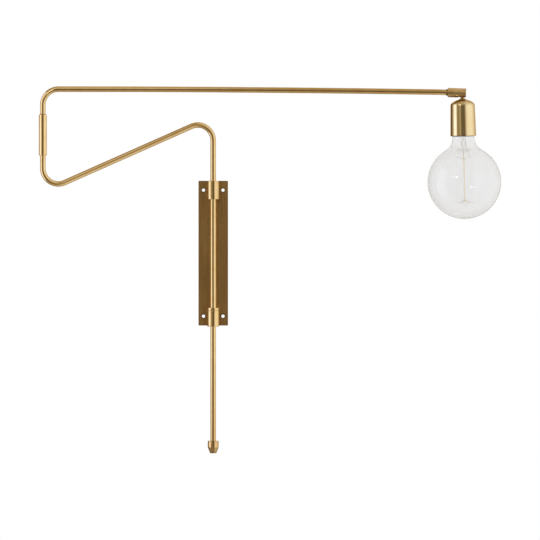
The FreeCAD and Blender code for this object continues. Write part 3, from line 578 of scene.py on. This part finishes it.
drawn_wire = plain_finish("drawn_wire", (0.58, 0.53, 0.48), (0.46, 0.42, 0.37), smooth=0.3, rough=0.42, metallic=1.0)
supports = drawn_wires("bulb_support_wires_bent",
                       [support_run(step, UPPER_CROWN, CROWN_RISE) for step in range(2, LAST_HOOK, 2)]
                       + [support_run(step, LOWER_CROWN, -CROWN_RISE) for step in range(1, LAST_HOOK, 2)],
                       SUPPORT_THICKNESS)
hang_on_head(supports, drawn_wire, "bulb_support_wires")
leads = drawn_wires("bulb_lead_wires_bent", [lead_run(1, 0), lead_run(-1, LAST_STEP)], LEAD_THICKNESS)
hang_on_head(leads, drawn_wire, "bulb_lead_wires")

# Filament: one very fine wire, drawn as a single curve that is strung up and down over
# the hooks of both crowns, from the one lead wire to the other.
FILAMENT_THICKNESS = 0.05 * MM
FILAMENT_RADIUS = CROWN_RADIUS + HOOK_RADIUS * 0.5
FILAMENT_BEND = 0.04

strand = []
for number in range(LAST_HOOK + 1):
    step = LAST_STEP if number == LAST_HOOK else number
    upper = number % 2 == 0
    height = UPPER_CROWN + CROWN_RISE if upper else LOWER_CROWN - CROWN_RISE
    over = HOOK_RADIUS if upper else -HOOK_RADIUS
    strand += [crown_point(step - FILAMENT_BEND, FILAMENT_RADIUS, height - 2 * over),
               crown_point(step, FILAMENT_RADIUS, height + over),
               crown_point(step + FILAMENT_BEND, FILAMENT_RADIUS, height - 2 * over)]
filament = drawn_wires("bulb_filament_strung", [strand], FILAMENT_THICKNESS)
filament_wire = plain_finish("filament_wire", (0.50, 0.38, 0.24), (0.40, 0.30, 0.19), smooth=0.4, rough=0.5,
                             metallic=1.0)
hang_on_head(filament, filament_wire, "bulb_filament")

# Floor: a plain pale sheet laid below the lamp, which keeps its shadow. It fades into the
# white around it, and is clear from below so that nothing is hidden there.
FLOOR_Z = -0.6
FLOOR_RADIUS = 2.0
FLOOR_PALE = (0.86, 0.86, 0.85, 1)
FADE_START = 1.0
FADE_END = 1.7

bpy.ops.object.select_all(action="DESELECT")
bpy.ops.mesh.primitive_circle_add(vertices=96, radius=FLOOR_RADIUS, fill_type="NGON", location=(0, 0, FLOOR_Z))
floor = bpy.context.object
floor.name = "floor"
floor.visible_glossy = False
bpy.ops.object.transform_apply(location=True)
finish, tree, shader, place = new_finish("pale_floor")
shader.inputs["Base Color"].default_value = FLOOR_PALE
shader.inputs["Roughness"].default_value = 0.9
away = add_node(tree, "ShaderNodeVectorMath", {0: place}, operation="LENGTH").outputs["Value"]
fade = spread(tree, away, 0, 1, FADE_START, FADE_END)
white = add_node(tree, "ShaderNodeEmission", {"Color": (1, 1, 1, 1), "Strength": 1})
top = add_node(tree, "ShaderNodeMixShader", {0: fade, 1: shader.outputs["BSDF"], 2: white.outputs["Emission"]})
underside = add_node(tree, "ShaderNodeNewGeometry", {}).outputs["Backfacing"]
clear = add_node(tree, "ShaderNodeBsdfTransparent", {}).outputs["BSDF"]
joined = add_node(tree, "ShaderNodeMixShader", {0: underside, 1: top.outputs["Shader"], 2: clear})
tree.links.new(joined.outputs["Shader"], tree.nodes["Material Output"].inputs["Surface"])
floor.data.materials.append(finish)

# Light: a pale studio that is dim and warm behind the camera, where the metal finds its
# dark stripe. A softbox hangs above and a tall one stands on the left, two small lamps
# in front make the glints on the globe, and a wide one lights what is not metal.
BEHIND = (0.45, 0.40, 0.32)
LEFT_SIDE = (0.42, 0.39, 0.33)
LEFT_EDGE = (0.16, 0.11, 0.06)
DIM = (0.075, 0.055, 0.03)
HALF_DIM = (0.50, 0.43, 0.29)
RIGHT_SCREEN = (1.08, 1.06, 1.02)
ROUND_THE_LAMP = [
    (-180, BEHIND), (-168, (0.80, 0.72, 0.60)), (-158, (0.70, 0.60, 0.48)), (-150, LEFT_EDGE), (-122, LEFT_EDGE),
    (-112, LEFT_SIDE), (-66, LEFT_SIDE), (-50, (0.38, 0.30, 0.17)), (-41, (0.25, 0.205, 0.125)),
    (-33, (0.41, 0.35, 0.23)), (-26, HALF_DIM), (-21, (0.40, 0.34, 0.21)), (-14, (0.17, 0.13, 0.075)), (-8, DIM),
    (8, DIM), (16, (0.20, 0.155, 0.09)), (24, (0.57, 0.50, 0.39)), (34, (0.98, 0.94, 0.88)), (45, RIGHT_SCREEN),
    (84, RIGHT_SCREEN), (111, (0.90, 0.84, 0.76)), (131, (0.68, 0.60, 0.50)), (160, (0.62, 0.53, 0.42)),
    (180, BEHIND)]
OVER_THE_LAMP = [
    (-180, BEHIND), (-113, (0.38, 0.30, 0.19)), (-76, (0.58, 0.49, 0.37)), (-56, (0.50, 0.42, 0.32)),
    (-28, (0.17, 0.135, 0.09)), (-12, (0.135, 0.105, 0.07)), (11, (0.30, 0.25, 0.17)), (30, (0.42, 0.335, 0.215)),
    (52, (0.49, 0.375, 0.23)), (75, (0.45, 0.36, 0.235)), (95, (0.46, 0.375, 0.25)), (130, (0.68, 0.60, 0.49)),
    (155, (0.44, 0.37, 0.28)), (180, BEHIND)]
OVERHEAD_FULL = (1, 1, 1)
OVERHEAD_PART = (0.75, 0.75, 0.75)
OVERHEAD_FAINT = (0.06, 0.06, 0.06)
OVERHEAD_SHARE = [
    (-180, OVERHEAD_FULL), (-170, OVERHEAD_FULL), (-160, OVERHEAD_FAINT), (-115, OVERHEAD_FAINT),
    (-104, OVERHEAD_FULL), (20, OVERHEAD_FULL), (50, OVERHEAD_PART), (110, OVERHEAD_PART), (145, OVERHEAD_FULL),
    (180, OVERHEAD_FULL)]
STRAIGHT_BEHIND = (0.96, 0.985)
GLOBE_PLACE = (0.42, -0.07, 0.12)

world = bpy.data.worlds.new("studio")
bpy.context.scene.world = world
world.use_nodes = True
tree = world.node_tree
ray = add_node(tree, "ShaderNodeTexCoord", {}).outputs["Generated"]
split = add_node(tree, "ShaderNodeSeparateXYZ", {0: ray})
across, deep, up = (split.outputs[axis] for axis in "XYZ")


def turn_ramp(sideways, stops):
    """Brightness round the lamp by angle: 0 is towards the camera, 180 behind the lamp."""
    ahead = maths(tree, "MULTIPLY", deep, -1.0)
    angle = maths(tree, "DIVIDE", maths(tree, "ARCTAN2", sideways, ahead), 2 * math.pi)
    ramp = add_node(tree, "ShaderNodeValToRGB", {0: maths(tree, "ADD", angle, 0.5)})
    elements = ramp.color_ramp.elements
    while len(elements) > 1:
        elements.remove(elements[0])
    for number, (degrees, colour) in enumerate(stops):
        stop = elements[0] if number == 0 else elements.new(degrees / 360 + 0.5)
        stop.position = degrees / 360 + 0.5
        stop.color = (*colour, 1)
    return ramp.outputs["Color"]


tallness = maths(tree, "ABSOLUTE", up)
width = maths(tree, "ADD", maths(tree, "ABSOLUTE", across), 0.001)
share = maths(tree, "DIVIDE", tallness, maths(tree, "ADD", tallness, width))
share = maths(tree, "MULTIPLY", share, turn_ramp(across, OVERHEAD_SHARE))
studio = blend(tree, share, turn_ramp(across, ROUND_THE_LAMP), turn_ramp(up, OVER_THE_LAMP))
rays = add_node(tree, "ShaderNodeLightPath", {})
seen = maths(tree, "MAXIMUM", rays.outputs["Is Camera Ray"], rays.outputs["Is Transmission Ray"])
backdrop = maths(tree, "MULTIPLY", rays.outputs["Is Glossy Ray"], spread(tree, deep, 0, 1, *STRAIGHT_BEHIND))
seen = maths(tree, "MAXIMUM", seen, backdrop)
colour = blend(tree, seen, studio, (1, 1, 1))
background = tree.nodes["Background"]
tree.links.new(colour, background.inputs["Color"])
background.inputs["Strength"].default_value = 1.0


def softbox(name, place, size, power, target, colour=(1, 1, 1)):
    light = bpy.data.lights.new(name, "AREA")
    light.color = colour
    light.shape, light.size, light.size_y, light.energy = "RECTANGLE", size[0], size[1], power
    lamp = bpy.data.objects.new(name, light)
    lamp.location = place
    bpy.context.scene.collection.objects.link(lamp)
    lamp.visible_camera = lamp.visible_transmission = lamp.visible_diffuse = False
    aim = lamp.location.copy()
    aim.x, aim.y, aim.z = (goal - start for goal, start in zip(target, place))
    lamp.rotation_euler = aim.to_track_quat("-Z", "Y").to_euler()
    return lamp


softbox("ceiling_softbox", (-0.45, -1.2, 1.45), (0.9, 1.2), power=1.4, target=(-0.2, -0.05, 0.25))
softbox("left_softbox", (-1.1525, -0.3985, 0.1), (1.026, 2.1), power=7.6, target=(-0.155, -0.325, 0.1),
        colour=(0.78, 0.81, 1.0))
room_light = softbox("room_light", (0, -0.2, 2.2), (3, 3), power=62, target=(0, -0.2, 0), colour=(0.86, 0.93, 1.0))
room_light.visible_glossy, room_light.visible_diffuse = False, True
front_lamp = softbox("front_lamp", (-0.72, -2.66, 0.87), (0.34, 0.3), power=2.2, target=GLOBE_PLACE)
side_lamp = softbox("side_lamp", (-1.48, -2.36, 0.92), (0.44, 0.14), power=0.55, target=GLOBE_PLACE)
front_lamp.visible_transmission = side_lamp.visible_transmission = True

# Camera: straight in front of the lamp, level, and far off with a long lens, so that
# the tubes show no perspective.
CAMERA_DISTANCE = 20.0
FRAME_WIDTH = 0.9126
FRAME_CENTRE = (0.0961, -0.04, -0.0285)

camera = bpy.data.objects.new("camera", bpy.data.cameras.new("camera"))
camera.location = (FRAME_CENTRE[0], FRAME_CENTRE[1] - CAMERA_DISTANCE, FRAME_CENTRE[2])
camera.rotation_euler = (math.pi / 2, 0, 0)
camera.data.lens = camera.data.sensor_width * CAMERA_DISTANCE / FRAME_WIDTH
camera.data.clip_end = 100
bpy.context.scene.collection.objects.link(camera)
bpy.context.scene.camera = camera
bpy.context.scene.view_settings.view_transform = "Standard"
